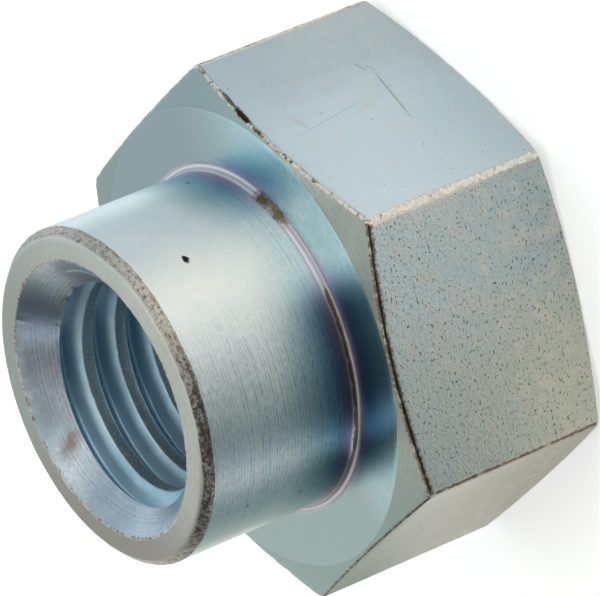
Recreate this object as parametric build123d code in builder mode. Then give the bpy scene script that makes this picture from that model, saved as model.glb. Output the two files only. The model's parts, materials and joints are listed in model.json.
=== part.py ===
"""Hex weld nut with a long turned pilot, 1/2-13 UNC, in one piece of steel.

The nut stands on the rear face of its hexagon. The thread axis is +Z and the
origin is the centre of the rear face, so the pilot points up. Units are mm.

The pilot drops into a hole in sheet or tube, the shoulder seats on it, and the
weld runs round the hexagon. The tapped bore goes right through both.
"""
import os
from math import ceil, cos, pi, radians, tan

from build123d import *
from build123d.topology import SkipClean

os.makedirs("parts", exist_ok=True)

# Hexagon: 15/16 in bar stock, its long corners broken by a narrow bevel
across_flats = 23.81
hex_height = 11.25
corner_bevel = 0.24

# Both ends of the hexagon are turned back at the corners by a shallow cone.
# Each setback says how far the flat ring ends inside the flats.
corner_cone_angle = 15.0
shoulder_setback = 0.25
rear_setback = 0.0

# Thread: UNC form, with a crest land left by the tap drill
thread_diameter = 12.7
thread_pitch = 25.4 / 13
thread_engagement = 0.9
flank_angle = 30.0

# Countersinks at both mouths of the bore, as wide as the thread plus a relief
countersink_angle = 45.0
front_relief = 0.65
rear_relief = 0.9

# Pilot: a turned tube wall round the thread
pilot_wall = 2.2
pilot_length = 8.9
pilot_chamfer = 0.45
root_cone = 0.4

# Sizes that follow from the ones above
flat_radius = across_flats / 2
corner_reach = flat_radius / cos(pi / 6)
total_height = hex_height + pilot_length
pilot_radius = thread_diameter / 2 + pilot_wall
major_radius = thread_diameter / 2
sharp_thread_height = thread_pitch / 2 / tan(radians(flank_angle))
thread_depth = 5 / 8 * sharp_thread_height * thread_engagement
minor_radius = major_radius - thread_depth
root_land = thread_pitch / 8
crest_land = thread_pitch - root_land - 2 * thread_depth * tan(radians(flank_angle))
turns_in_bore = ceil(total_height / thread_pitch) + 1

# One turn of the thread groove: a trapezium that follows a right-hand helix. Its
# straight flanks run on past the crest lands into the open bore.
with BuildPart() as thread_turn:
    lip_radius = minor_radius - thread_depth / 4
    lip_width = root_land + 2 * (major_radius - lip_radius) * tan(radians(flank_angle))
    with BuildLine() as turn_path:
        Helix(pitch=thread_pitch, height=thread_pitch, radius=major_radius)
    with BuildSketch(Plane.XZ):
        with BuildLine():
            Polyline(
                (lip_radius, -lip_width / 2),
                (major_radius, -root_land / 2),
                (major_radius, root_land / 2),
                (lip_radius, lip_width / 2),
                close=True,
            )
        make_face()
    sweep(path=turn_path.line, is_frenet=True)

with BuildPart() as hex_weld_nut:
    # Hexagon blank, corners on the X axis and flats facing +Y and -Y
    with BuildSketch() as hexagon:
        RegularPolygon(flat_radius, 6, major_radius=False)
        chamfer(hexagon.vertices(), corner_bevel)
    extrude(amount=hex_height)

    # The turned envelope takes the six corners back at the rear and the shoulder
    cone_slope = tan(radians(corner_cone_angle))
    rear_ring_radius = flat_radius - rear_setback
    shoulder_ring_radius = flat_radius - shoulder_setback
    rear_drop = (corner_reach - rear_ring_radius) * cone_slope
    shoulder_drop = (corner_reach - shoulder_ring_radius) * cone_slope
    with BuildSketch(Plane.XZ):
        with BuildLine():
            Polyline(
                (0, 0),
                (rear_ring_radius, 0),
                (corner_reach, rear_drop),
                (corner_reach, hex_height - shoulder_drop),
                (shoulder_ring_radius, hex_height),
                (0, hex_height),
                close=True,
            )
        make_face()
    revolve(axis=Axis.Z, mode=Mode.INTERSECT)

    # Pilot, with a small cone into the shoulder and a chamfer at its end
    with BuildSketch(Plane.XY.offset(hex_height)):
        Circle(pilot_radius)
    extrude(amount=pilot_length)
    pilot_edges = hex_weld_nut.edges().filter_by(GeomType.CIRCLE)
    pilot_edges = pilot_edges.filter_by(lambda edge: abs(edge.radius - pilot_radius) < 1e-6)
    chamfer(pilot_edges.sort_by(Axis.Z)[0], root_cone)
    chamfer(hex_weld_nut.edges().sort_by(Axis.Z)[-1], pilot_chamfer)

    # Tap drill bore
    with BuildSketch():
        Circle(minor_radius)
    extrude(amount=total_height, mode=Mode.SUBTRACT)

    # Thread, one turn above the other from below the rear face to above the pilot
    with Locations([(0, 0, thread_pitch * turn) for turn in range(-1, turns_in_bore)]):
        add(thread_turn.part, mode=Mode.SUBTRACT)

    # Countersinks, which take the feather edges off the first and last threads
    mouth_slope = tan(radians(countersink_angle))
    front_mouth_radius = major_radius + front_relief
    rear_mouth_radius = major_radius + rear_relief
    with BuildSketch(Plane.XZ):
        with BuildLine():
            Polyline(
                (0, 0),
                (rear_mouth_radius, 0),
                (0, rear_mouth_radius / mouth_slope),
                close=True,
            )
        make_face()
        with BuildLine():
            Polyline(
                (0, total_height),
                (front_mouth_radius, total_height),
                (0, total_height - front_mouth_radius / mouth_slope),
                close=True,
            )
        make_face()
    revolve(axis=Axis.Z, mode=Mode.SUBTRACT)

    # The drill passes once more with its seam on the other side. It takes nothing
    # away, and leaves every crest land as faces of half a turn, which keep the
    # thread's minor diameter easy to measure.
    with SkipClean():
        with BuildSketch(Plane.XY.rotated((0, 0, 180))):
            Circle(minor_radius)
        extrude(amount=total_height, mode=Mode.SUBTRACT)

hex_weld_nut.part.label = "hex_weld_nut"
export_step(hex_weld_nut.part, "parts/hex_weld_nut.step")

print(f"thread: minor diameter {2 * minor_radius:.3f}, crest land {crest_land:.3f}")
print(f"pilot: diameter {2 * pilot_radius:.2f}, end ring {pilot_wall - front_relief - pilot_chamfer:.2f} wide")
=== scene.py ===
# %% [markdown]
# # A hexagonal weld nut with a turned pilot
# The nut is one piece of steel: drawn hexagon bar, turned at both ends, drilled,
# tapped and then zinc plated. The scene loads the measured solid first, keeps its
# box, and dresses it in that same frame, in metres, standing on its rear face.

# %% The frame
import json
from math import atan2, ceil, cos, degrees, hypot, pi, radians, sin, tan

import bmesh
import bpy
from mathutils import Matrix, Vector, noise

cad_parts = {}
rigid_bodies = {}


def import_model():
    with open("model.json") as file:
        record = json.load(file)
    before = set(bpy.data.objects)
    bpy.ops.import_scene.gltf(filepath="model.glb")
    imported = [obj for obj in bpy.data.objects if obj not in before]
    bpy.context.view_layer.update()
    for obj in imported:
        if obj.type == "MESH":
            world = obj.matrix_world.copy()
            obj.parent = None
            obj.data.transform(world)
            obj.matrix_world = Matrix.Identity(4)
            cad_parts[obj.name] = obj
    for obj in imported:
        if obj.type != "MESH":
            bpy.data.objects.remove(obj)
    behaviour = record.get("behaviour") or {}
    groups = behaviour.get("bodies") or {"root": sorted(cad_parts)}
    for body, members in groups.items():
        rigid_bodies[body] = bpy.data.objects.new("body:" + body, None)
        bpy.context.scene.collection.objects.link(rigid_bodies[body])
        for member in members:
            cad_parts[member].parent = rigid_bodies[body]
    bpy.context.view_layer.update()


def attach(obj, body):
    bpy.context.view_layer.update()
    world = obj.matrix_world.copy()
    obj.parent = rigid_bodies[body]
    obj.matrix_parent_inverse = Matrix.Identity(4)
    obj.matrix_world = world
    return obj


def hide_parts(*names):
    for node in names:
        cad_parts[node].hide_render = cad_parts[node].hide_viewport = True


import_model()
MM = 0.001

# %% [markdown]
# ## Sizes
# The same names and values that drive the solid. The nut carries a 1/2-13 thread
# in a 15/16 inch hexagon. Everything below is worked out from these lines, so a
# change here moves every edge that depends on it.

# %% Sizes
ACROSS_FLATS = 23.81 * MM
HEX_HEIGHT = 11.25 * MM
HEX_CORNER_BEVEL = 0.24 * MM
CORNER_CONE = radians(15)
SHOULDER_RING = ACROSS_FLATS / 2 - 0.25 * MM
THREAD_RADIUS = 6.35 * MM
THREAD_PITCH = 25.4 / 13 * MM
THREAD_DEPTH = 5 / 8 * 0.9 * THREAD_PITCH / 2 / tan(radians(30))
FRONT_MOUTH = THREAD_RADIUS + 0.65 * MM
REAR_MOUTH = THREAD_RADIUS + 0.9 * MM
PILOT_RADIUS = THREAD_RADIUS + 2.2 * MM
PILOT_LENGTH = 8.9 * MM
PILOT_CHAMFER = 0.45 * MM
ROOT_CONE = 0.4 * MM
TOTAL_HEIGHT = HEX_HEIGHT + PILOT_LENGTH
print(f"thread: minor diameter {2 * (THREAD_RADIUS - THREAD_DEPTH) / MM:.2f} mm")

# %% [markdown]
# ## Camera
# A long lens, far away, which keeps the flats nearly parallel. It looks 30 degrees
# down on the shoulder, and is rolled so that the pilot points to the lower left.

# %% Camera
camera_data = bpy.data.cameras.new("long_lens_camera")
camera_data.sensor_width = 36
camera_data.lens = 418.34
camera_data.clip_end = 20  # metres, past the far edge of the floor
camera = bpy.data.objects.new("long_lens_camera", camera_data)
bpy.context.scene.collection.objects.link(camera)
bpy.context.scene.camera = camera
CAMERA_PLACE = Vector((88.92, -277.72, 177.21)) * MM
CAMERA_RIGHT = Vector((-0.22138, -0.55766, -0.80000))
CAMERA_UP = Vector((0.93955, 0.09779, -0.32816))
CAMERA_BACK = CAMERA_RIGHT.cross(CAMERA_UP).normalized()
CAMERA_UP = CAMERA_BACK.cross(CAMERA_RIGHT).normalized()
camera_turn = Matrix((CAMERA_RIGHT.normalized(), CAMERA_UP, CAMERA_BACK)).transposed()
camera.matrix_world = Matrix.Translation(CAMERA_PLACE) @ camera_turn.to_4x4()
print("camera distance, mm:", round(CAMERA_PLACE.length / MM))

# %% [markdown]
# ## Nodes and colours
# Colours are written as sRGB hex, as a paint chart gives them, and turned to the
# linear values that the shaders work in. One helper adds any node.

# %% Helpers for colours and nodes
def linear(hex_colour):
    """An sRGB hex colour as linear red, green, blue and full alpha."""
    parts = [int(hex_colour[i:i + 2], 16) / 255 for i in (1, 3, 5)]
    straight = [c / 12.92 if c <= 0.04045 else ((c + 0.055) / 1.055) ** 2.4 for c in parts]
    return (*straight, 1)


def add_node(tree, kind, settings=None, links=None):
    """Adds a node, sets its properties and sockets, and links outputs to its sockets."""
    node = tree.nodes.new("ShaderNode" + kind)
    for name, value in (settings or {}).items():
        if isinstance(name, str) and hasattr(node, name):
            setattr(node, name, value)
        else:
            node.inputs[name].default_value = value
    for name, source in (links or {}).items():
        tree.links.new(source, node.inputs[name])
    return node


def set_stops(ramp, stops):
    """Gives a colour ramp its stops: places from 0 to 1 and hex colours."""
    elements = ramp.color_ramp.elements
    elements.remove(elements[1])
    elements[0].position = stops[0][0]
    elements[0].color = linear(stops[0][1])
    for place, colour in stops[1:]:
        elements.new(place).color = linear(colour)


# %% [markdown]
# ## Studio
# Bright metal shows its surroundings and little else, so the studio is a ring of
# soft cards round the nut, given by compass direction: one thin bright strip, a
# wide dark gap, a broad white card, then grey and cool ones. Lamps would light the
# nut too, but they show in metal as small hard spots. The ring is painted on the
# world, under a large overhead light. To the camera the world is plain.

# %% Ring of cards by compass direction
# Each row is a compass direction in degrees and the card's colour there
WALL_CARDS = [
    (-180, "#20262B"), (-171, "#3A4449"), (-165, "#F4FAFD"), (-157, "#F4FAFD"),
    (-151, "#2B3337"), (-138, "#0A0D10"), (-100, "#0C0F12"), (-74, "#1B2226"), (-64, "#8C979B"),
    (-54, "#F8FDFF"), (-30, "#FFFFFB"), (-10, "#F4F6F4"), (14, "#C6D2D6"),
    (42, "#C2CBCE"), (62, "#EAF5FA"), (88, "#EAF5FA"), (100, "#D2D6D4"),
    (122, "#D6D8D4"), (142, "#DADAD4"), (160, "#6A706F"), (180, "#161B1F"),
]
TABLE_CARDS = [
    (-180, "#7C9494"), (-166, "#7C9092"), (-150, "#BCC5CA"), (-138, "#909EA6"),
    (-122, "#7C8B8E"), (-100, "#9FAAAA"), (-84, "#CFD1D1"), (-66, "#F4F4F2"),
    (-30, "#F2F0EA"), (-8, "#D0D5D7"), (18, "#C2CFD7"), (40, "#B8C9CE"),
    (60, "#EAF8FF"), (90, "#B4C4CE"), (104, "#F4F6F6"), (122, "#FFFCFA"),
    (138, "#F0F0E8"), (152, "#A8B6B2"), (180, "#7C9494"),
]
CARD_LIGHT = 1.25
OVERHEAD_EDGE = {"From Min": 0.74, "From Max": 0.94}  # heights on the unit sky


def ring_of_cards(tree, place, cards):
    """The colour of the card that lies in the direction of a place, and its height."""
    parts = add_node(tree, "SeparateXYZ", links={"Vector": place}).outputs
    compass = add_node(tree, "Math", {"operation": "ARCTAN2"}, {0: parts["Y"], 1: parts["X"]})
    round_share = add_node(
        tree, "MapRange", {"From Min": -pi, "From Max": pi}, {"Value": compass.outputs[0]}
    )
    colours = add_node(tree, "ValToRGB", links={"Fac": round_share.outputs[0]})
    set_stops(colours, [((angle + 180) / 360, colour) for angle, colour in cards])
    return colours.outputs[0], parts["Z"]


# %% World
world = bpy.data.worlds.new("card_ring")
bpy.context.scene.world = world
world.use_nodes = True
sky = world.node_tree
sky.nodes.clear()
direction = add_node(sky, "TexCoord").outputs["Generated"]
ring, height = ring_of_cards(sky, direction, WALL_CARDS)
soft_edge = {"interpolation_type": "SMOOTHSTEP", **OVERHEAD_EDGE}
overhead = add_node(sky, "MapRange", soft_edge, {"Value": height}).outputs[0]
settings = {"data_type": "RGBA", 7: linear("#EDEEEB")}
ring_and_top = add_node(sky, "Mix", settings, {0: overhead, 6: ring}).outputs[2]
to_camera = add_node(sky, "LightPath").outputs["Is Camera Ray"]
settings = {"data_type": "RGBA", 7: linear("#E9E9E7")}
seen_world = add_node(sky, "Mix", settings, {0: to_camera, 6: ring_and_top}).outputs[2]
backdrop = add_node(sky, "Background", {"Strength": CARD_LIGHT}, {"Color": seen_world})
add_node(sky, "OutputWorld", links={"Surface": backdrop.outputs[0]})
print("cards on the wall and table:", len(WALL_CARDS), len(TABLE_CARDS))

# %% [markdown]
# The floor is a plain white sheet of studio paper, matt, so it gives no reflection
# of the nut. It lights the nut from below and keeps its shadow. To camera, glossy
# and transmission rays it adds a little light of its own, so that the sheet reads
# white to the eye and in the metal alike.

# %% Floor
FLOOR_REACH = 4.0  # metres from the nut to each side of the sheet
PAPER_GLOW = 0.5
floor_mesh = bpy.data.meshes.new("floor_sheet")
corner_signs = ((-1, -1), (1, -1), (1, 1), (-1, 1))
sheet_corners = [(FLOOR_REACH * x, FLOOR_REACH * y, 0) for x, y in corner_signs]
floor_mesh.from_pydata(sheet_corners, [], [(0, 1, 2, 3)])
floor = bpy.data.objects.new("floor_sheet", floor_mesh)
bpy.context.scene.collection.objects.link(floor)

# %% White paper
paper = bpy.data.materials.new("white_studio_paper")
paper.use_nodes = True
sheet = paper.node_tree
sheet.nodes.clear()
seen = add_node(sheet, "LightPath").outputs
seen_white = seen["Is Camera Ray"]
for other in (seen["Is Glossy Ray"], seen["Is Transmission Ray"]):
    links = {0: seen_white, 1: other}
    seen_white = add_node(sheet, "Math", {"operation": "MAXIMUM"}, links).outputs[0]
own_light = add_node(sheet, "Math", {"operation": "MULTIPLY", 1: PAPER_GLOW}, {0: seen_white})
glow = add_node(
    sheet, "Emission", {"Color": linear("#FFFFFF")}, {"Strength": own_light.outputs[0]}
)
matt = add_node(sheet, "BsdfDiffuse", {"Color": linear("#EEEEEC")})
both = add_node(sheet, "AddShader", links={0: glow.outputs[0], 1: matt.outputs[0]})
add_node(sheet, "OutputMaterial", links={"Surface": both.outputs[0]})
floor_mesh.materials.append(paper)
print("floor sheet:", 2 * FLOOR_REACH, "m wide")

# %% [markdown]
# Seen from above, the sides of the nut mirror the table and not the walls. So the ring of cards
# goes on down there: a flat ring of card lies on the sheet, just out of the frame. It glows with
# its own light and lights nothing; it only shows in the metal, as a painted reflection of a card
# held out of view.

# %% Cards on the table
SKIRT_INNER = 24 * MM
SKIRT_OUTER = 900 * MM
SKIRT_LIFT = 0.2 * MM
SKIRT_STEPS = 72
skirt_points, skirt_faces = [], []
for step in range(SKIRT_STEPS):
    angle = 2 * pi * step / SKIRT_STEPS
    for radius in (SKIRT_INNER, SKIRT_OUTER):
        skirt_points.append((radius * cos(angle), radius * sin(angle), SKIRT_LIFT))
    here, beside = 2 * step, 2 * ((step + 1) % SKIRT_STEPS)
    skirt_faces.append((here, here + 1, beside + 1, beside))
skirt_mesh = bpy.data.meshes.new("cards_on_table")
skirt_mesh.from_pydata(skirt_points, [], skirt_faces)
skirt = bpy.data.objects.new("cards_on_table", skirt_mesh)
bpy.context.scene.collection.objects.link(skirt)
skirt.visible_camera = False
skirt.visible_diffuse = False
skirt.visible_shadow = False

# %% Glowing card, seen only in the metal
card = bpy.data.materials.new("glowing_reflection_card")
card.use_nodes = True
card_tree = card.node_tree
card_tree.nodes.clear()
card_place = add_node(card_tree, "TexCoord").outputs["Object"]
card_colour, _ = ring_of_cards(card_tree, card_place, TABLE_CARDS)
lit = add_node(card_tree, "Emission", {"Strength": CARD_LIGHT}, {"Color": card_colour})
add_node(card_tree, "OutputMaterial", links={"Surface": lit.outputs[0]})
skirt_mesh.materials.append(card)
print("cards on the table from", SKIRT_INNER / MM, "mm outward")

# %% [markdown]
# ## Finishes
# All of the nut is bright zinc plate with a thin blue passivate, but each surface was made another
# way before plating, and that is what the eye tells apart: cold drawn flats are satin, turned
# faces carry fine rings that stretch the highlights across them, and worn edges show dull cream,
# rust brown and black. Some coats are painted light: the cream along edges and crests is partly a
# painted highlight, the flats are darker towards the rear face as painted shade, some sides of the
# turned faces carry painted shade, the film tints by the pilot are partly painted shade, and a
# bluer patch in the countersink is painted light. So there is one metal shader throughout, and
# each finish gives it colours, roughness and relief from masks that depend on the place on the
# nut. Colours go on in coats: each one covers those below it where a height, a direction or a
# noise says so.

# %% Metal and its patterns
def start_finish(name):
    """An empty metal finish: its material, node tree, shader and place on the nut."""
    finish = bpy.data.materials.new(name)
    finish.use_nodes = True
    tree = finish.node_tree
    tree.nodes.clear()
    metal = add_node(tree, "BsdfPrincipled", {"Metallic": 1.0})
    add_node(tree, "OutputMaterial", links={"Surface": metal.outputs[0]})
    place = add_node(tree, "TexCoord").outputs["Object"]
    return finish, tree, metal, place


def grain(tree, place, size, detail=3.0, roughness=0.6, stretch=(1, 1, 1)):
    """Noise whose features are as large as the given size, in metres."""
    held = add_node(
        tree, "Mapping", {"vector_type": "TEXTURE", "Scale": stretch}, {"Vector": place}
    )
    settings = {"Scale": 1 / size, "Detail": detail, "Roughness": roughness}
    return add_node(tree, "TexNoise", settings, {"Vector": held.outputs[0]}).outputs["Fac"]


def coat(tree, under, over, value, start=0, full=1, strength=1):
    """Lays one colour over another, none where a value is start and all where it is full.

    The colours and the strength may also be the outputs of nodes.
    """
    settings = {"From Min": start, "From Max": full}
    links = {"Value": value}
    if isinstance(strength, (int, float)):
        settings["To Max"] = strength
    else:
        links["To Max"] = strength
    mask = add_node(tree, "MapRange", settings, links).outputs[0]
    settings = {"data_type": "RGBA"}
    links = {0: mask}
    for socket, colour in ((6, under), (7, over)):
        if isinstance(colour, str):
            settings[socket] = linear(colour)
        else:
            links[socket] = colour
    return add_node(tree, "Mix", settings, links).outputs[2]


# %% Masks by place on the nut
def height_and_radius(tree, place):
    """A place's height over the rear face and its distance from the thread axis."""
    parts = add_node(tree, "SeparateXYZ", links={"Vector": place}).outputs
    level = add_node(tree, "CombineXYZ", links={"X": parts["X"], "Y": parts["Y"]})
    length = add_node(tree, "VectorMath", {"operation": "LENGTH"}, {0: level.outputs[0]})
    return parts["Z"], length.outputs["Value"]


def towards(tree, place, compass):
    """How far a place lies from the thread axis in one compass direction."""
    heading = (cos(radians(compass)), sin(radians(compass)), 0)
    settings = {"operation": "DOT_PRODUCT", 0: heading}
    return add_node(tree, "VectorMath", settings, {1: place}).outputs["Value"]


def facing(tree, place, compass, none_beyond, full_within, strength=1):
    """A mask by compass direction: full near the given one, 0 beyond some degrees from it."""
    _, radius = height_and_radius(tree, place)
    links = {0: towards(tree, place, compass), 1: radius}
    ratio = add_node(tree, "Math", {"operation": "DIVIDE"}, links).outputs[0]
    limits = {
        "From Min": cos(radians(none_beyond)),
        "From Max": cos(radians(full_within)),
        "To Max": strength,
    }
    return add_node(tree, "MapRange", limits, {"Value": ratio}).outputs[0]


# %% [markdown]
# Marks are single events on this nut: a pit, a scratch, a patch of burr. A painted
# image could hold them, but would tie them to one size of picture. Instead each one
# is a ragged spot, drawn from one place to another with a width, in millimetres.

# %% Single marks
FINEST_GRAIN = 0.16  # mm
RAGGEDNESS = 1.1
MARK_EDGE = 1.65  # a place on the spot's outline, with about average grain


def add_marks(tree, place, colour, marks):
    """Lays marks over a colour. Each gives two places, a width, a strength and a tone."""
    for start, end, width, strength, tone in marks:
        ragged = grain(tree, place, max(FINEST_GRAIN, width / 3) * MM, detail=3)
        start, end = Vector(start) * MM, Vector(end) * MM
        along = end - start
        across = width * MM / 2
        settings = {
            "vector_type": "TEXTURE",
            "Location": (start + end) / 2,
            "Rotation": along.to_track_quat("X", "Z").to_euler(),
            "Scale": (along.length / 2 + across, across, across),
        }
        held = add_node(tree, "Mapping", settings, {"Vector": place})
        away = add_node(tree, "VectorMath", {"operation": "LENGTH"}, {0: held.outputs[0]})
        settings = {"operation": "MULTIPLY_ADD", 1: RAGGEDNESS}
        links = {0: ragged, 2: away.outputs["Value"]}
        uneven = add_node(tree, "Math", settings, links).outputs[0]
        softness = min(1.2, 0.2 + 0.6 * width)
        inside = MARK_EDGE - softness
        colour = coat(tree, colour, tone, uneven, MARK_EDGE, inside, strength)
    return colour


# %% [markdown]
# Handling and barrel plating wear the edges first. The mesh carries two values: one is 1 on an
# edge and falls to 0 beside it, and bare says how much of the plate has gone from that edge. Noise
# breaks both up, so the bands come out ragged. The cream along the edges and thread crests is
# partly scuffed plate and partly a painted highlight where the rounded edges catch the light; the
# brown and black are wear.

# %% Worn edges and painted edge highlights over any finish
# Where each band sets in and where it is full, on a scale of worn value plus noise
FRINGE = (0.98, 1.12)
SCUFF_AND_HIGHLIGHT = {"From Min": 1.1, "From Max": 1.22}
BARE = (1.2, 1.36)


def wear_and_edge_highlights(tree, place, colour):
    """Cream along the edges, partly scuffs and partly painted highlight, with brown and black
    where the plate is gone.
    """
    wear_and_highlight = add_node(tree, "Attribute", {"attribute_name": "wear_and_highlight"}).outputs["Fac"]
    bare = add_node(tree, "Attribute", {"attribute_name": "bare"}).outputs["Fac"]
    fine = grain(tree, place, 0.17 * MM)
    specks = grain(tree, place, 0.35 * MM, detail=4)
    ragged = add_node(tree, "Math", {"operation": "ADD"}, {0: fine, 1: wear_and_highlight}).outputs[0]
    scuff_and_highlight = add_node(tree, "MapRange", SCUFF_AND_HIGHLIGHT, {"Value": ragged}).outputs[0]
    fringed = coat(tree, colour, "#A8967E", ragged, *FRINGE, strength=0.55)
    # Cream: partly scuffed plate, partly a painted highlight along rounded edges and thread crests
    chalky = coat(tree, "#D9D6CE", "#C9C3B8", fine, 0.6, 0.4)
    cream_and_highlight = coat(tree, fringed, chalky, bare, 0.75, 0.35, strength=scuff_and_highlight)
    settings = {"operation": "MULTIPLY_ADD", 1: 1.6}
    gone = add_node(tree, "Math", settings, {0: specks, 2: bare}).outputs[0]
    return coat(tree, cream_and_highlight, "#6E6256", gone, *BARE, strength=scuff_and_highlight)


# %% [markdown]
# The flats are cold drawn: the bar was pulled through a die, which leaves a satin
# skin with small pits, darker where they are deep. One flat came out full of them,
# with the olive cast of thicker film towards one long edge. Pits could be dents in
# the mesh, but at a fifth of a millimetre they would need millions of faces, so
# noise of that size gives them tone and relief.

# %% Drawn flats
CLOUD_SIZE = 2.6 * MM
DUST_SIZE = 0.9 * MM
PIT_SIZE = 0.18 * MM
SKIN_GRAIN = 0.16 * MM
DUST = "#C9BFB2"
PIT_TONE = "#64706F"
# Heights over the rear face, where the painted shade towards the rear and the cast fade, and
# distances from the axis towards the cast's side
REAR_SHADE_HEIGHTS = (1 * MM, 10 * MM)
CAST_HEIGHT = (14 * MM, 3 * MM)
CAST_SIDE = {"From Min": 7 * MM, "From Max": 11 * MM}
# Values of the noise that makes the patches, the crowds of pits and each pit's edge
DUSTY = (0.48, 0.62)
CROWDED = {"From Min": 0.25, "From Max": 0.5}
PIT_EDGE = 0.08


def drawn_flat(name, front, rear, cast, cast_from, pits_over, dust,
               skin_depth, roughness, marks=()):
    """A flat of the hexagon, lighter towards the front and darker towards the rear face, the
    darker tone being painted shade.

    cast is an olive tone towards one compass direction. There are pits where their
    noise is over a value, dust says how strong the warm patches are, and skin_depth
    is how strong the fine relief is.
    """
    finish, tree, metal, place = start_finish(name)
    height, _ = height_and_radius(tree, place)
    clouds = grain(tree, place, CLOUD_SIZE, stretch=(1, 1, 2))
    # Painted shade: each flat is darker towards the rear face
    toned = coat(tree, rear, front, height, *REAR_SHADE_HEIGHTS)
    settings = {"operation": "MULTIPLY_ADD", 1: 6 * MM}
    links = {0: clouds, 2: towards(tree, place, cast_from)}
    side = add_node(tree, "Math", settings, links).outputs[0]
    near_side = add_node(tree, "MapRange", CAST_SIDE, {"Value": side}).outputs[0]
    toned = coat(tree, toned, cast, height, *CAST_HEIGHT, strength=near_side)
    patches = grain(tree, place, DUST_SIZE, detail=5, roughness=0.75)
    toned = coat(tree, toned, DUST, patches, *DUSTY, strength=dust)
    pits = grain(tree, place, PIT_SIZE, detail=2, roughness=0.45, stretch=(1, 1, 0.7))
    crowded = add_node(tree, "MapRange", CROWDED, {"Value": clouds}).outputs[0]
    limits = {"From Min": pits_over, "From Max": pits_over + PIT_EDGE}
    links = {"Value": pits, "To Max": crowded}
    pitted = add_node(tree, "MapRange", limits, links).outputs[0]
    toned = coat(tree, toned, PIT_TONE, pitted)
    marked = add_marks(tree, place, wear_and_edge_highlights(tree, place, toned), marks)
    tree.links.new(marked, metal.inputs["Base Color"])
    metal.inputs["Roughness"].default_value = roughness
    skin = grain(tree, place, SKIN_GRAIN, detail=3)
    deep = add_node(tree, "Math", {"operation": "MULTIPLY_ADD", 1: -1.5}, {0: pitted, 2: skin})
    settings = {"Strength": skin_depth, "Distance": 0.05 * MM}
    relief = add_node(tree, "Bump", settings, {"Height": deep.outputs[0]})
    tree.links.new(relief.outputs[0], metal.inputs["Normal"])
    return finish


# %% Marks on the smooth flat and its front rim
# A long dent with a hook and a nick at its end, a hairline, and a dull rub
SCRATCHES = [
    ((11.38, -4.10, 3.57), (9.44, -7.47, 4.18), 0.13, 0.6, "#848B87"),
    ((11.79, -3.40, 4.04), (11.47, -3.95, 3.86), 0.2, 0.5, "#8F948D"),
    ((11.40, -4.06, 3.50), (11.62, -3.68, 3.72), 0.10, 0.5, "#8C918A"),
    ((10.27, -6.02, 9.58), (10.59, -5.47, 5.42), 0.08, 0.35, "#8A9296"),
    ((10.9, -4.95, 9.2), (10.4, -5.8, 8.9), 0.35, 0.25, "#A9A396"),
]
# Three patches where the plate has chipped off and the steel shows nearly black
BARE_RIM = [
    ((12.50, -2.16, 10.84), (11.95, -3.12, 10.98), 0.26, 0.8, "#463424"),
    ((11.90, -3.20, 11.00), (11.25, -4.33, 11.14), 0.42, 1.0, "#332619"),
    ((11.10, -4.59, 11.17), (10.70, -5.28, 11.23), 0.3, 0.9, "#4A3A2A"),
]

# %% Finishes of the flats
# Each flat's second colour is its painted shade towards the rear face
# Drawn nearly smooth: pale blue and even, with soft reflections
SMOOTH_FLAT = drawn_flat(
    "zinc_on_smooth_flat", "#C3D0D6", "#AAB9BF", cast="#A6B0B3", cast_from=40,
    pits_over=0.7, dust=0.2, skin_depth=0.12, roughness=0.38, marks=SCRATCHES + BARE_RIM,
)
# Full of pits: grey green to olive, grainy, with no clear reflection
PITTED_FLAT = drawn_flat(
    "zinc_on_pitted_flat", "#BFC9C9", "#9FABAB", cast="#B1B3A6", cast_from=-150,
    pits_over=0.62, dust=0.5, skin_depth=0.8, roughness=0.45,
)
# Thin plate over a rubbed skin: warm grey and dull
DULL_FLAT = drawn_flat(
    "zinc_on_dull_flat", "#E6DED2", "#A39C92", cast="#A7A496", cast_from=-180,
    pits_over=0.68, dust=0.45, skin_depth=0.3, roughness=0.42,
)
print("flats:", SMOOTH_FLAT.name, PITTED_FLAT.name, DULL_FLAT.name)

# %% [markdown]
# The passivate film is thinner in the corner between the pilot and the shoulder, where the plating
# current is weak. A thin film shows colours: pale blue on the way in, then indigo, violet, and
# pink in the corner itself. A shader can work that out from a film's thickness. Here the tints are
# multiplied into the colour by the distance from the corner, only towards a few compass
# directions, and there their darker indigo and blue are painted shade for the dark blue that the
# corner mirrors. All round the corner itself a band is painted: grey in the crease, a painted
# highlight line, then pink and violet.

# %% Film tints and painted shade near the root of the pilot
FILM_AND_SHADE_REACH = 4 * MM
CORNER_FROM, CORNER_TO = 0.12 * MM, 0.42 * MM
CORNER_FADE = 0.14 * MM


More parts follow.
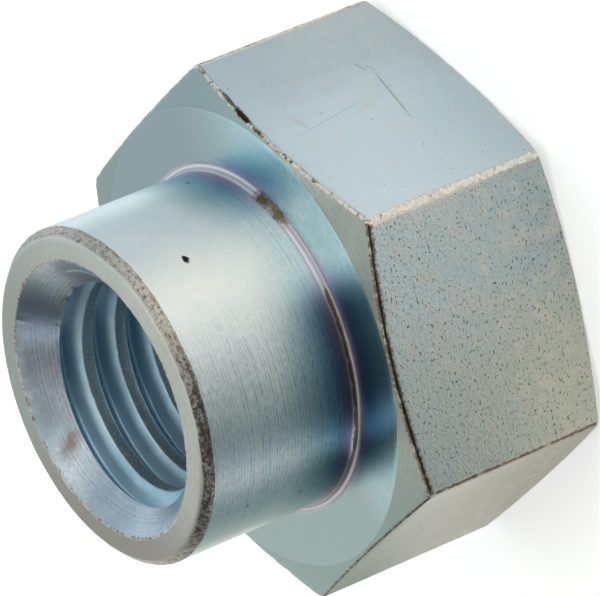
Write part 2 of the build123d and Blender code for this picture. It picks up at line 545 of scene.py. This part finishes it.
def film_and_shade_near_root(tree, place, colour, film_and_shade):
    """Tints a colour by its distance from the root, on some sides of the pilot.

    film_and_shade gives each side's compass direction, how many degrees from it the tint ends and
    is full, and its strength; there the darker tints are painted shade. All round the corner
    itself a band is painted: grey in the crease, a painted highlight line, then pink and violet.
    """
    height, radius = height_and_radius(tree, place)
    above = add_node(tree, "Math", {"operation": "SUBTRACT", 1: HEX_HEIGHT}, {0: height})
    outside = add_node(tree, "Math", {"operation": "SUBTRACT", 1: PILOT_RADIUS}, {0: radius})
    gap = add_node(tree, "CombineXYZ", links={"X": above.outputs[0], "Y": outside.outputs[0]})
    length = add_node(tree, "VectorMath", {"operation": "LENGTH"}, {0: gap.outputs[0]})
    away = length.outputs["Value"]
    near = add_node(tree, "MapRange", {"From Max": FILM_AND_SHADE_REACH}, {"Value": away})
    tint = add_node(tree, "ValToRGB", links={"Fac": near.outputs[0]})
    set_stops(tint, [
        (0.0, "#E4D6DC"), (0.11, "#B9ADCB"), (0.18, "#9AA9CE"), (0.26, "#93B4D2"),
        (0.36, "#9FC6DC"), (0.6, "#CCE0E7"), (1.0, "#FFFFFF"),
    ])
    settings = {"data_type": "RGBA", "blend_type": "MULTIPLY"}
    # On these sides the tints are partly film colour, partly painted shade
    for side in film_and_shade:
        links = {0: facing(tree, place, *side), 6: colour, 7: tint.outputs[0]}
        colour = add_node(tree, "Mix", settings, links).outputs[2]
    limits = {"From Min": CORNER_FROM, "From Max": CORNER_TO}
    across = add_node(tree, "MapRange", limits, {"Value": away})
    corner = add_node(tree, "ValToRGB", links={"Fac": across.outputs[0]})
    # Painted reflection of the rounded root: grey in the crease, a bright painted highlight line,
    # then pink and violet
    set_stops(corner, [
        (0.0, "#9A9EA3"), (0.12, "#A3A4AA"), (0.27, "#D2D0D6"), (0.42, "#CBC1CB"),
        (0.7, "#A79DAE"),
    ])
    return coat(tree, colour, corner.outputs[0], away, CORNER_TO, CORNER_TO - CORNER_FADE)


# %% [markdown]
# A lathe tool leaves rings round the axis, a few hundredths of a millimetre apart,
# drawn here about twice as coarse so that they show. They spread a highlight across
# the rings and keep it narrow along them, which the shader does with anisotropy
# turned a quarter from the direction of the rings.

# %% Rings and worn specks
RING_SIZE = 0.08 * MM
BREAK_SIZE = 0.28 * MM
SPECK_SIZE = 0.22 * MM
# Values of the noise where grooves show, and where they last
GROOVES = {"From Min": 0.42, "From Max": 0.62}
LASTING = {"From Min": 0.32, "From Max": 0.58}
# A compass direction in degrees, and distances from the axis towards it
HEAVY_SIDE, HEAVY = -104, {"From Min": 5.8 * MM, "From Max": 8 * MM}
SPECKED_SIDE, SPECKED = -106, {"From Min": 6.4 * MM, "From Max": 8.2 * MM, "To Max": 0.13}
# Heights over the rear face, from the plain part of the pilot down to the root
NEAR_ROOT = {"From Min": 14.6 * MM, "From Max": 12.4 * MM, "To Max": 0.6}
FAINTEST = {"From Min": -0.15}  # leaves some rings on the rest of the pilot


def ring_tone(tree, place, rings):
    """A mask of the rings' grooves, broken up along the way."""
    breaks = grain(tree, place, BREAK_SIZE, stretch=(1, 1, 0.5))
    lasting = add_node(tree, "MapRange", LASTING, {"Value": breaks}).outputs[0]
    return add_node(tree, "MapRange", GROOVES, {"Value": rings, "To Max": lasting}).outputs[0]


def heavy_rings(tree, place, height):
    """A mask of where the pilot's rings are heavy: one side of it, and near the root."""
    one_side = add_node(tree, "MapRange", HEAVY, {"Value": towards(tree, place, HEAVY_SIDE)})
    low = add_node(tree, "MapRange", NEAR_ROOT, {"Value": height})
    links = {0: one_side.outputs[0], 1: low.outputs[0]}
    either = add_node(tree, "Math", {"operation": "MAXIMUM"}, links).outputs[0]
    return add_node(tree, "MapRange", FAINTEST, {"Value": either}).outputs[0]


def worn_specks(tree, place):
    """Noise for specks of wear, higher on one side of the nut."""
    specks = grain(tree, place, SPECK_SIZE, detail=5, roughness=0.7)
    one_side = add_node(tree, "MapRange", SPECKED, {"Value": towards(tree, place, SPECKED_SIDE)})
    links = {0: one_side.outputs[0], 1: specks}
    return add_node(tree, "Math", {"operation": "ADD"}, links).outputs[0]


# %% Turned surfaces
def turned(name, light, shade, groove, along, roughness, anisotropy, ring_depth,
           sides=(), film_and_shade=(), mottle=0.0, marks=()):
    """A turned surface. along is the axis that the tool fed along: Z, or radius.

    groove tones the rings. sides lists tones of painted shade that lie towards some compass
    directions, film_and_shade the sides with passivate tints that are partly painted shade, and
    mottle the share of specks of wear.
    """
    finish, tree, metal, place = start_finish(name)
    height, radius = height_and_radius(tree, place)
    feed = height if along == "Z" else radius
    rings_at = add_node(tree, "CombineXYZ", links={"X": feed})
    rings = grain(tree, rings_at.outputs[0], RING_SIZE, detail=2)
    clouds = grain(tree, place, 3 * MM)
    colour = coat(tree, light, shade, clouds, 0.35, 0.65)
    heavy = heavy_rings(tree, place, height) if along == "Z" else 1
    colour = coat(tree, colour, groove, ring_tone(tree, place, rings), strength=heavy)
    # Tones by compass direction are painted shade
    for tone, *side in sides:
        colour = coat(tree, colour, tone, facing(tree, place, *side))
    if film_and_shade:
        colour = film_and_shade_near_root(tree, place, colour, film_and_shade)
    if mottle:
        specks = worn_specks(tree, place)
        colour = coat(tree, colour, "#5C554F", specks, 0.66 - mottle, 0.82 - mottle)
    marked = add_marks(tree, place, wear_and_edge_highlights(tree, place, colour), marks)
    tree.links.new(marked, metal.inputs["Base Color"])
    metal.inputs["Roughness"].default_value = roughness
    metal.inputs["Anisotropic"].default_value = anisotropy
    metal.inputs["Anisotropic Rotation"].default_value = 0.25
    settings = {"operation": "CROSS_PRODUCT", 0: (0, 0, 1)}
    around = add_node(tree, "VectorMath", settings, {1: place}).outputs[0]
    around = add_node(tree, "VectorMath", {"operation": "NORMALIZE"}, {0: around}).outputs[0]
    tree.links.new(around, metal.inputs["Tangent"])
    settings = {"Strength": ring_depth, "Distance": 0.02 * MM}
    relief = add_node(tree, "Bump", settings, {"Height": rings})
    tree.links.new(relief.outputs[0], metal.inputs["Normal"])
    return finish


# %% Marks on the pilot, its root and the countersink
def on_pilot(compass, height, out=0.0):
    """A place on the pilot's side, in millimetres."""
    reach = PILOT_RADIUS / MM + out
    return (reach * cos(radians(compass)), reach * sin(radians(compass)), height)


# A torn burr of dirty metal that the tool left at the root
BURR = [
    (on_pilot(-27, 11.45, 0.2), on_pilot(-34, 11.4, 0.2), 0.7, 1.0, "#5A4E3D"),
    (on_pilot(-33, 11.4, 0.25), on_pilot(-42, 11.45, 0.2), 0.6, 1.0, "#6E604A"),
]
# A brown line of dirt in the corner, in short chords round the pilot
ROOT_LINE = [
    (on_pilot(angle + 2, 11.38, 0.13), on_pilot(angle - 8, 11.38, 0.13), 0.22, 0.9, "#66523A")
    for angle in range(-68, -124, -8)
]
# One deep pit and three small ones
DOTS = [
    (on_pilot(-39.4, 16.94), on_pilot(-40.6, 16.94), 0.34, 1.0, "#2B2721"),
    (on_pilot(-3.6, 12.95), on_pilot(-4.4, 12.95), 0.2, 0.8, "#394A50"),
    (on_pilot(-130, 17.43), on_pilot(-130.6, 17.43), 0.16, 0.8, "#4A4A44"),
    (on_pilot(-135.3, 14.03), on_pilot(-136, 14.03), 0.16, 0.8, "#4A4A44"),
]
# A smear of brown in the countersink, and a bluer, lighter patch that is painted light where the
# countersink mirrors a dark part of the studio
STAIN_AND_LIGHT_PATCH = [
    ((-2.6, 5.2, 18.9), (-3.6, 5.3, 19.6), 1.3, 0.8, "#76655A"),
    ((2.6, 5.8, 19.6), (4.4, 4.4, 19.5), 2.0, 0.4, "#A9B2DC"),
]
print("single marks:", sum(map(len, (SCRATCHES, BARE_RIM, BURR, ROOT_LINE, DOTS, STAIN_AND_LIGHT_PATCH))))

# %% Finishes of the shoulder, corner cones and pilot
# Faced with a fine feed: the mirror of the nut, pale blue with one dark band. The grey tones
# towards 112 and 60 degrees are painted shade, and the film tints by the pilot are partly painted
# shade
SHOULDER = turned(
    "zinc_on_turned_shoulder", "#CFE6EB", "#BBD8E0", "#A3C6D2", along="radius",
    roughness=0.2, anisotropy=0.65, ring_depth=0.3,
    sides=[("#A6B8B8", 112, 138, 108), ("#95A8AE", 60, 75, 50)],
    film_and_shade=[(-22, 24, 9, 0.25), (-96, 32, 22, 0.8)], marks=BURR + ROOT_LINE,
)
# The cone over the hexagon's corners: the same turning, duller and greener, with painted shade
# towards 112 and 40 degrees
CORNER = turned(
    "zinc_on_corner_cone", "#ADB3AD", "#9BA29D", "#939A95", along="radius",
    roughness=0.3, anisotropy=0.6, ring_depth=0.15,
    sides=[("#94A9A8", 112, 138, 108), ("#869697", 40, 70, 40)], marks=BARE_RIM,
)
# Turned with a coarser feed: bright silver with combed highlights, and film tints on two sides
# that are partly painted shade
PILOT = turned(
    "zinc_on_turned_pilot", "#E2E4E0", "#D6DDDC", "#98A9AD", along="Z",
    roughness=0.34, anisotropy=0.8, ring_depth=0.6,
    film_and_shade=[(-6, 31, 11, 1.0), (-109, 52, 33, 1.0)], marks=BURR + ROOT_LINE + DOTS,
)

# %% Finishes of the pilot's end and the bore
# Cut off and faced: satin grey, with painted shade greyer towards 105 degrees and warmer towards
# 168
END_RING = turned(
    "zinc_on_end_ring", "#C6C8C2", "#BBBEB8", "#B0B3AD", along="radius",
    roughness=0.4, anisotropy=0.6, ring_depth=0.15,
    sides=[("#A2AAA6", 105, 130, 50), ("#97948D", 168, 65, 20)],
)
# A corner that takes every knock: dull and specked where the plate is worn
CHAMFER = turned(
    "zinc_on_end_chamfer", "#C6C2BA", "#B4AEA4", "#96908A", along="radius",
    roughness=0.42, anisotropy=0.3, ring_depth=0.2, mottle=0.16,
)
# Bored with some chatter: steel blue, with streaks that run round it
SINK = turned(
    "zinc_in_countersink", "#C6CDD4", "#A6B4BE", "#8F9DAA", along="radius",
    roughness=0.32, anisotropy=0.7, ring_depth=0.4, marks=STAIN_AND_LIGHT_PATCH,
)
# Cut by a tap with no rings to speak of: thick blue passivate, soft reflections
THREAD = turned(
    "zinc_in_tapped_thread", "#C0DAE6", "#A6C8DA", "#A6C8DA", along="Z",
    roughness=0.45, anisotropy=0.0, ring_depth=0.0,
)
print("turned finishes:", SHOULDER.name, PILOT.name, END_RING.name, THREAD.name)

# %% [markdown]
# ## Outlines with worn corners
# Two closed outlines make the whole nut: the plan of the bar, and the section that
# the lathe and the drill leave. No real corner is sharp. A bevel modifier could
# round them, but it can't vary a curve round the nut, so both outlines are drawn by
# one function, which trades each corner for a short curve between two runs.

# %% Outline with rounded corners
def rounded(corners):
    """Points and labels round a closed outline.

    Each corner gives two coordinates, how far from it the curve starts, the steps
    on the curve, the steps on the run to the next corner, and the run's label.
    """
    spots = [Vector(corner[:2]) for corner in corners]
    line = []
    for i, (_, _, rounding, curve_steps, run_steps, label) in enumerate(corners):
        here, before, after = spots[i], spots[i - 1], spots[(i + 1) % len(spots)]
        start = here + (before - here).normalized() * rounding
        end = here + (after - here).normalized() * rounding
        for step in range(curve_steps):
            t = step / max(1, curve_steps - 1)
            line.append(((1 - t) ** 2 * start + 2 * t * (1 - t) * here + t * t * end, label))
        next_start = after + (here - after).normalized() * corners[(i + 1) % len(corners)][2]
        for step in range(1, run_steps):
            line.append((end.lerp(next_start, step / run_steps), label))
    return line


# %% [markdown]
# The bar is pulled through a hexagonal die, and its long corners are broken by a
# bevel 0.4 mm wide, which drawing and handling leave dull and bright by turns. The
# flats get many steps, because they cross the cones in a curve.

# %% Plan of the hexagon bar
BAR_ROUNDING = 0.08 * MM
BEVEL_STEPS = 4
FLAT_STEPS = 50


def bar_corners():
    """The twelve corners of the bevelled hexagon, with the flat that each one starts."""
    reach = ACROSS_FLATS / 2 / cos(pi / 6)
    corners = []
    for flat in range(6):
        corner = Vector((reach * cos(flat * pi / 3), reach * sin(flat * pi / 3)))
        for side, run_steps, label in ((-1, BEVEL_STEPS, "bevel"), (1, FLAT_STEPS, flat)):
            heading = flat * pi / 3 + side * 2 * pi / 3
            end = corner + HEX_CORNER_BEVEL * Vector((cos(heading), sin(heading)))
            corners.append((*end, BAR_ROUNDING, 4, run_steps, label))
    return corners


outline = [(atan2(spot.y, spot.x), spot.length, label) for spot, label in rounded(bar_corners())]
print("steps round the bar:", len(outline))

# %% [markdown]
# The section is one closed line, from the rear mouth out to the hexagon, up its
# side, in over the shoulder, up the pilot and back down the bore. Only one thing
# changes on the way round the nut: how far out the bar reaches. The curves on the
# rims also wander in size, because the plating barrel wears them unevenly.

# %% Section of the nut
BORE_BLANK = 5.0 * MM
REAR_RING = ACROSS_FLATS / 2 - 0.2 * MM  # leaves room for the rounded rear rim
RING_ROUNDING = 0.03 * MM


def wander(angle, seed, least, most):
    """A distance that changes smoothly round the nut, between the two given."""
    spot = Vector((3 * cos(angle), 3 * sin(angle), seed))
    coarse = noise.noise(spot * 1.7)
    fine = noise.noise(spot * 7)
    return least + (most - least) * min(1, max(0, 0.5 + 0.6 * coarse + 0.35 * fine))


def section(angle, reach):
    """Corners of the section at one angle, where the bar has the given reach."""
    rear_drop = (reach - REAR_RING) * tan(CORNER_CONE)
    front_drop = (reach - SHOULDER_RING) * tan(CORNER_CONE)
    rear_rim = wander(angle, 2, 0.12 * MM, 0.19 * MM)
    front_rim = wander(angle, 5, 0.1 * MM, 0.21 * MM)
    chamfer_edge = wander(angle, 8, 0.06 * MM, 0.16 * MM)
    end_edge = wander(angle, 11, 0.08 * MM, 0.18 * MM)
    mouth_edge = wander(angle, 14, 0.06 * MM, 0.14 * MM)
    top = TOTAL_HEIGHT
    return [
        (BORE_BLANK, REAR_MOUTH - BORE_BLANK, 0, 1, 6, "sink"),
        (REAR_MOUTH, 0, 0.1 * MM, 3, 9, "rear"),
        (REAR_RING, 0, RING_ROUNDING, 2, 3, "rear"),
        (reach, rear_drop, rear_rim, 5, 44, "flat"),
        (reach, HEX_HEIGHT - front_drop, front_rim, 5, 5, "cone"),
        (SHOULDER_RING, HEX_HEIGHT, RING_ROUNDING, 2, 9, "shoulder"),
        (PILOT_RADIUS, HEX_HEIGHT, ROOT_CONE, 6, 36, "pilot"),
        (PILOT_RADIUS, top - PILOT_CHAMFER, chamfer_edge, 4, 3, "chamfer"),
        (PILOT_RADIUS - PILOT_CHAMFER, top, end_edge, 4, 4, "end"),
        (FRONT_MOUTH, top, mouth_edge, 4, 7, "sink"),
        (BORE_BLANK, top - (FRONT_MOUTH - BORE_BLANK), 0, 1, 12, "thread"),
    ]


# %% [markdown]
# ## Body before tapping
# The section's points become rows and the steps round the bar become columns, and
# four neighbours make a face. Cutting a bar with the lathe's outline would give the
# same nut, but this way each face knows its stretch of the section and its side of
# the bar, and so its finish.

# %% Finish of each stretch and side
FINISHES = [
    SMOOTH_FLAT, PITTED_FLAT, DULL_FLAT, SHOULDER, CORNER, PILOT, END_RING, CHAMFER, SINK, THREAD,
]
SIDE_FINISH = {
    5: SMOOTH_FLAT, 4: PITTED_FLAT, 3: DULL_FLAT, 2: SMOOTH_FLAT, 1: DULL_FLAT, 0: SMOOTH_FLAT,
    "bevel": DULL_FLAT,
}
RUN_FINISH = {
    "rear": CORNER, "cone": CORNER, "shoulder": SHOULDER, "pilot": PILOT,
    "chamfer": CHAMFER, "end": END_RING, "sink": SINK, "thread": THREAD,
}


# %% A mesh from points and faces
def new_piece(name, points, faces, finishes):
    """A mesh object with the nut's finishes and outward faces."""
    mesh = bpy.data.meshes.new(name)
    mesh.from_pydata(points, [], faces)
    for finish in FINISHES:
        mesh.materials.append(finish)
    mesh.polygons.foreach_set("material_index", [FINISHES.index(finish) for finish in finishes])
    build = bmesh.new()
    build.from_mesh(mesh)
    bmesh.ops.recalc_face_normals(build, faces=build.faces)
    build.to_mesh(mesh)
    build.free()
    piece = bpy.data.objects.new(name, mesh)
    bpy.context.scene.collection.objects.link(piece)
    return piece


# %% Mesh of the turned body
points, faces, finishes = [], [], []
for angle, reach, _ in outline:
    row_spots = rounded(section(angle, reach))
    labels = [label for _, label in row_spots]
    for spot, _ in row_spots:
        points.append((spot[0] * cos(angle), spot[0] * sin(angle), spot[1]))
rows = len(labels)
for column, (_, _, side) in enumerate(outline):
    here, beside = column * rows, (column + 1) % len(outline) * rows
    for row, label in enumerate(labels):
        above = (row + 1) % rows
        faces.append((here + row, beside + row, beside + above, here + above))
        finishes.append(SIDE_FINISH[side] if label == "flat" else RUN_FINISH[label])
body = new_piece("hex_weld_nut_body", points, faces, finishes)
print("turned body:", len(points), "points,", rows, "rows")

# %% [markdown]
# ## Tap
# The thread is cut as in the shop, with a tap, which gives the first and last
# turns their true run-out in the countersinks. A screw modifier could wind a tooth
# round the axis too, but leaves ends that don't close. The tap's surface is a row of
# teeth that climbs one pitch for each turn, so the row above a point's own is the
# same row one turn on. Rounded roots and crests are in the tooth. Both ends close
# to a point on the axis, well clear of the nut.

# %% Tap with the thread's form
def tooth():
    """Height within the pitch and radius, over one tooth of the tap."""
    root = THREAD_PITCH / 16
    crest = root + THREAD_DEPTH * tan(radians(30))
    low, high = THREAD_RADIUS - THREAD_DEPTH, THREAD_RADIUS
    half = [
        # the rounded root, with a short flat at its middle
        (root * 0.55, high),
        (root + 0.05 * MM, high - 0.06 * MM),
        # the straight flank
        ((root + crest) / 2, (low + high) / 2),
        # the rounded edge of the crest land
        (crest - 0.04 * MM, low + 0.07 * MM),
        (crest + 0.012 * MM, low + 0.012 * MM),
        (crest + 0.06 * MM, low),
    ]
    below = [(-height, radius) for height, radius in reversed(half)]
    return [(-THREAD_PITCH / 2, low), *below, (0, high), *half]


# %% Rows of teeth
ROUND_STEPS = 192
teeth = ceil(TOTAL_HEIGHT / THREAD_PITCH) + 3
profile = [
    (height + THREAD_PITCH * (turn - 1), radius)
    for turn in range(teeth)
    for height, radius in tooth()
]
per_turn = len(tooth())
tap_points = []
for step in range(ROUND_STEPS):
    angle = 2 * pi * step / ROUND_STEPS
    climb = THREAD_PITCH * step / ROUND_STEPS
    for height, radius in profile:
        tap_points.append((radius * cos(angle), radius * sin(angle), height + climb))
tap_faces = []
count = len(profile)
for step in range(ROUND_STEPS):
    last = step == ROUND_STEPS - 1
    here, beside = step * count, 0 if last else (step + 1) * count
    shift = per_turn if last else 0
    for row in range(count - 1):
        if row + 1 + shift < count:
            low_side, high_side = beside + row + shift, beside + row + 1 + shift
            tap_faces.append((here + row, low_side, high_side, here + row + 1))
print("tap:", len(tap_points), "points,", teeth, "teeth")

# %% Closed ends of the tap
low_end = len(tap_points)
tap_points += [(0, 0, profile[0][0] - THREAD_PITCH), (0, 0, profile[-1][0] + 2 * THREAD_PITCH)]
bottom = [step * count for step in range(ROUND_STEPS)] + list(range(per_turn, 0, -1))
top_row = [step * count + count - 1 for step in range(ROUND_STEPS)]
top_rim = [(ROUND_STEPS - 1) * count + row for row in range(count - per_turn - 1, count - 1)]
for rim, tip in ((bottom, low_end), (top_row + top_rim[::-1], low_end + 1)):
    for first, second in zip(rim, rim[1:] + rim[:1]):
        tap_faces.append((first, second, tip))
tap = new_piece("tap", tap_points, tap_faces, [THREAD] * len(tap_faces))

# %% The cut
cutter = body.modifiers.new("tapping", "BOOLEAN")
cutter.operation = "DIFFERENCE"
cutter.solver = "EXACT"
cutter.object = tap
bpy.context.view_layer.update()
tapping = bpy.context.evaluated_depsgraph_get()
tapped = bpy.data.meshes.new_from_object(body.evaluated_get(tapping))
nut = bpy.data.objects.new("hex_weld_nut_look", tapped)
bpy.context.scene.collection.objects.link(nut)
for used in (body, tap):
    bpy.data.objects.remove(used)
check = bmesh.new()
check.from_mesh(tapped)
open_edges = sum(1 for e in check.edges if not e.is_manifold)
print("tapped nut:", len(check.verts), "points,", open_edges, "open edges,",
      f"{check.calc_volume() / MM ** 3:.0f} mm3")
check.free()

# %% [markdown]
# ## Wear
# The edges of a nut are worn by the barrel, the other nuts in it and the bar's drawing. Every
# point learns how near it is to a worn edge and how bare that edge is: the two rims of the
# hexagon, its six long edges, the circles of the pilot's end and the thread's crests. The same
# nearness places the cream along these edges, which is partly a painted highlight. Painting the
# wear by hand would tie it to one mesh, while these values follow the sizes.

# %% How worn each edge is, and where its painted highlight goes
# Width of the band in mm and how bare it is, by flat for the front rim and by corner for the long
# edges, counted from the X axis. Each band carries wear and the cream painted highlight
FRONT_WEAR_AND_HIGHLIGHT = {
    5: (0.34, 0.36), 4: (0.55, 0.64), 3: (0.24, 0.62), 2: (0.3, 0.3), 1: (0.3, 0.3), 0: (0.3, 0.3),
}
LONG_WEAR_AND_HIGHLIGHT = {
    5: (0.56, 0.22), 4: (0.3, 0.66), 3: (0.4, 0.3), 2: (0.4, 0.3), 1: (0.4, 0.3), 0: (0.4, 0.4),
}
# Width, how bare, and the most that the edge value for wear and painted highlight reaches
REAR_RIM_WEAR_AND_HIGHLIGHT = (0.22, 0.5, 0.8)
CHAMFER_WEAR_AND_HIGHLIGHT = (0.2, 0.45, 0.8)
MOUTH_WEAR_AND_HIGHLIGHT = (0.3, 0.55, 0.72)
CREST_WEAR_AND_HIGHLIGHT = (0.14, 0.1, 0.6)


# %% Wear at a place
def bar_reach(angle):
    """How far the bar reaches at an angle, and how far off its nearest long edge is."""
    from_flat = abs((angle % (pi / 3)) - pi / 6)
    half_flat = ACROSS_FLATS / 2
    bevel_reach = half_flat / cos(pi / 6) - HEX_CORNER_BEVEL / 2
    reach = min(half_flat / cos(from_flat), bevel_reach / cos(pi / 6 - from_flat))
    return reach, half_flat * (tan(pi / 6) - tan(from_flat))


def wear_at(spot):
    """How near a place is to an edge, 1 on it and 0 beside it, for its wear and painted highlight,
    and how bare that edge is.
    """
    radius, angle = hypot(spot.x, spot.y), atan2(spot.y, spot.x)
    reach, to_long_edge = bar_reach(angle)
    front = HEX_HEIGHT - (reach - SHOULDER_RING) * tan(CORNER_CONE)
    rear = (reach - REAR_RING) * tan(CORNER_CONE)
    front_wear_and_highlight = FRONT_WEAR_AND_HIGHLIGHT[int(degrees(angle) // 60) % 6]
    long_wear_and_highlight = LONG_WEAR_AND_HIGHLIGHT[round(degrees(angle) / 60) % 6]
    top = TOTAL_HEIGHT
    edges = [
        (hypot(radius - reach, spot.z - front), *front_wear_and_highlight, 1),
        (hypot(radius - reach, spot.z - rear), *REAR_RIM_WEAR_AND_HIGHLIGHT),
        (hypot(radius - PILOT_RADIUS, spot.z - top + PILOT_CHAMFER), *CHAMFER_WEAR_AND_HIGHLIGHT),
        (hypot(radius - FRONT_MOUTH, spot.z - top), *MOUTH_WEAR_AND_HIGHLIGHT),
        (radius - THREAD_RADIUS + THREAD_DEPTH, *CREST_WEAR_AND_HIGHLIGHT),
    ]
    if radius > ACROSS_FLATS / 2 and rear < spot.z < front:
        edges.append((to_long_edge, *long_wear_and_highlight, 1))
    return max(
        (most * max(0, 1 - abs(gap) / (width * MM)), bare) for gap, width, bare, most in edges
    )


# %% Wear and highlight values on the mesh
wear = [wear_at(point.co) for point in tapped.vertices]
for name, column in (("wear_and_highlight", 0), ("bare", 1)):
    attribute = tapped.attributes.new(name, "FLOAT", "POINT")
    attribute.data.foreach_set("value", [pair[column] for pair in wear])
print("points at an edge:", sum(1 for wear_and_highlight, _ in wear if wear_and_highlight > 0))

# %% [markdown]
# Chips are small dents of a few hundredths of a millimetre along the worn edges,
# where parts knocked together. They only go inward, as real ones do, so the nut
# stays within its size.

# %% Chips
CHIP_DEPTH = 0.09 * MM
CHIPS_ABOVE = 0.3
BITE_ABOVE = 0.12
moved = []
for point, (wear_and_highlight, _) in zip(tapped.vertices, wear):
    dent = 0
    if wear_and_highlight > CHIPS_ABOVE:
        bite = noise.noise(point.co / MM * 1.9) + 0.5 * noise.noise(point.co / MM * 6)
        dent = CHIP_DEPTH * wear_and_highlight * min(1, max(0, bite - BITE_ABOVE))
    moved.append(point.co - point.normal * dent)
tapped.vertices.foreach_set("co", [c for spot in moved for c in spot])
tapped.shade_smooth()
tapped.set_sharp_from_angle(angle=radians(38))
tapped.update()
print("points that may be chipped:", sum(1 for wear_and_highlight, _ in wear if wear_and_highlight > CHIPS_ABOVE))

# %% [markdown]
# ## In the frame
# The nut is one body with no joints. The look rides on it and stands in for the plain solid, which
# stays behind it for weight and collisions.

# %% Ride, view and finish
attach(nut, "root")
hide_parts("hex_weld_nut")
bpy.context.scene.view_settings.view_transform = "Standard"
